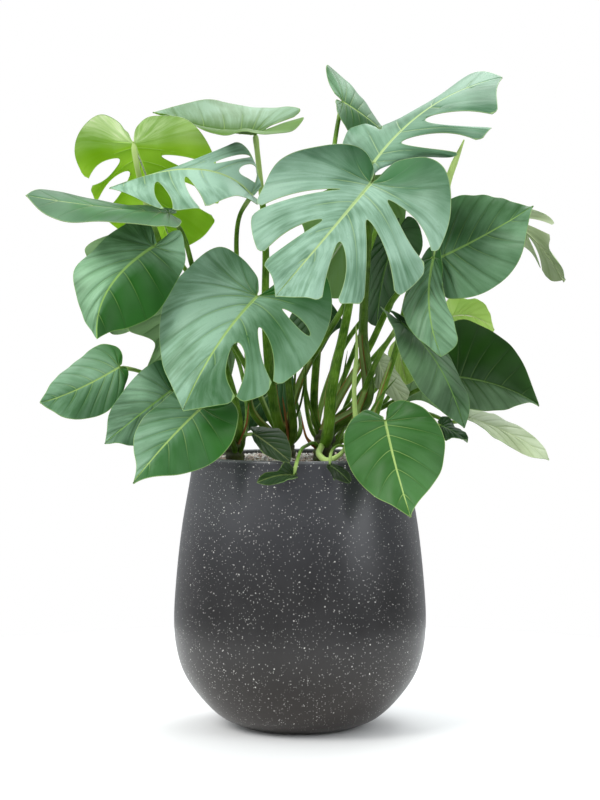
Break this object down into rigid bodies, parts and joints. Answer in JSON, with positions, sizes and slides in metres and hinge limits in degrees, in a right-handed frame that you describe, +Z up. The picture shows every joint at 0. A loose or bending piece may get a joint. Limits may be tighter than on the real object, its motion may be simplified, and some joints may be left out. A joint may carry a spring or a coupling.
{
  "type": "potted swiss cheese plant",
  "caption": "Swiss cheese plant with slit and whole leaves on long arching stalks, standing in a round-bellied dark speckled pot with soil and a gravel top dressing.",
  "frame": {"origin": "middle of the pot's flat foot, on the surface that it stands on", "axes": "+Z up along the pot's axis, -Y towards the side that most leaves face, +X to the right as seen from there"},
  "size_m": [0.8334, 0.4691, 1.0763],
  "materials": {
    "planter": "matte charcoal with fine white speckles",
    "soil": "crumbly potting mix of peat and bark",
    "gravel": "loose granules, white, grey and pinkish",
    "crown": "leaf bases and dried sheaths, satin",
    "stalk": "smooth green stalk, satin",
    "leaf_pale": "glossy leaf reflecting a pale sky",
    "leaf_fresh": "glossy fresh green leaf",
    "leaf_deep": "glossy deep green leaf",
    "leaf_dark": "satin dark green leaf",
    "leaf_backlit": "matte yellow-green underside",
    "leaf_young": "thin young leaf, satin"
  },
  "bodies": {
    "root": {"planter": "planter", "potting_soil": "soil", "gravel_top_dressing": "gravel", "crown_centre": "crown", "crown_right": "crown", "crown_left": "crown", "crown_middle": "crown", "crown_back": "crown", "blade_front_centre": "leaf_pale", "blade_centre_left": "leaf_fresh", "blade_left": "leaf_deep", "blade_front_right_low": "leaf_fresh", "blade_left_low": "leaf_fresh", "blade_backlit": "leaf_backlit", "blade_far_left": "leaf_pale", "blade_top_left": "leaf_pale", "blade_upper_left": "leaf_pale", "blade_top_right": "leaf_pale", "blade_top_centre": "leaf_fresh", "blade_right": "leaf_deep", "blade_far_right": "leaf_dark", "blade_right_centre": "leaf_deep", "blade_right_low": "leaf_dark", "blade_right_dark": "leaf_dark", "petiole_front_centre": "stalk", "petiole_centre_left": "stalk", "petiole_left": "stalk", "petiole_front_right_low": "stalk", "petiole_left_low": "stalk", "petiole_backlit": "stalk", "petiole_far_left": "stalk", "petiole_top_left": "stalk", "petiole_upper_left": "stalk", "petiole_top_right": "stalk", "petiole_top_centre": "stalk", "petiole_right": "stalk", "petiole_far_right": "stalk", "petiole_right_centre": "stalk", "petiole_right_low": "stalk", "petiole_right_dark": "stalk", "leaf_left_low_back": "leaf_deep", "leaf_far_left_low": "leaf_fresh", "leaf_young_pale": "leaf_young", "leaf_right_lowest": "leaf_young", "leaf_right_small": "leaf_dark", "leaf_rim_left": "leaf_fresh", "leaf_rim_front": "leaf_deep", "leaf_rim_dark": "leaf_dark", "leaf_crumpled": "leaf_dark", "leaf_back_pale": "leaf_young", "leaf_back_olive": "leaf_dark", "leaf_back_centre": "leaf_dark", "leaf_back_low": "leaf_deep", "leaf_back_left": "leaf_fresh", "leaf_back_high": "leaf_pale", "leaf_back_right_low": "leaf_deep", "leaf_back_left_low": "leaf_deep", "leaf_back_upper_left": "leaf_fresh", "leaf_back_upper_right": "leaf_deep", "rolled_new_leaf": "leaf_young"}
  },
  "joints": []
}
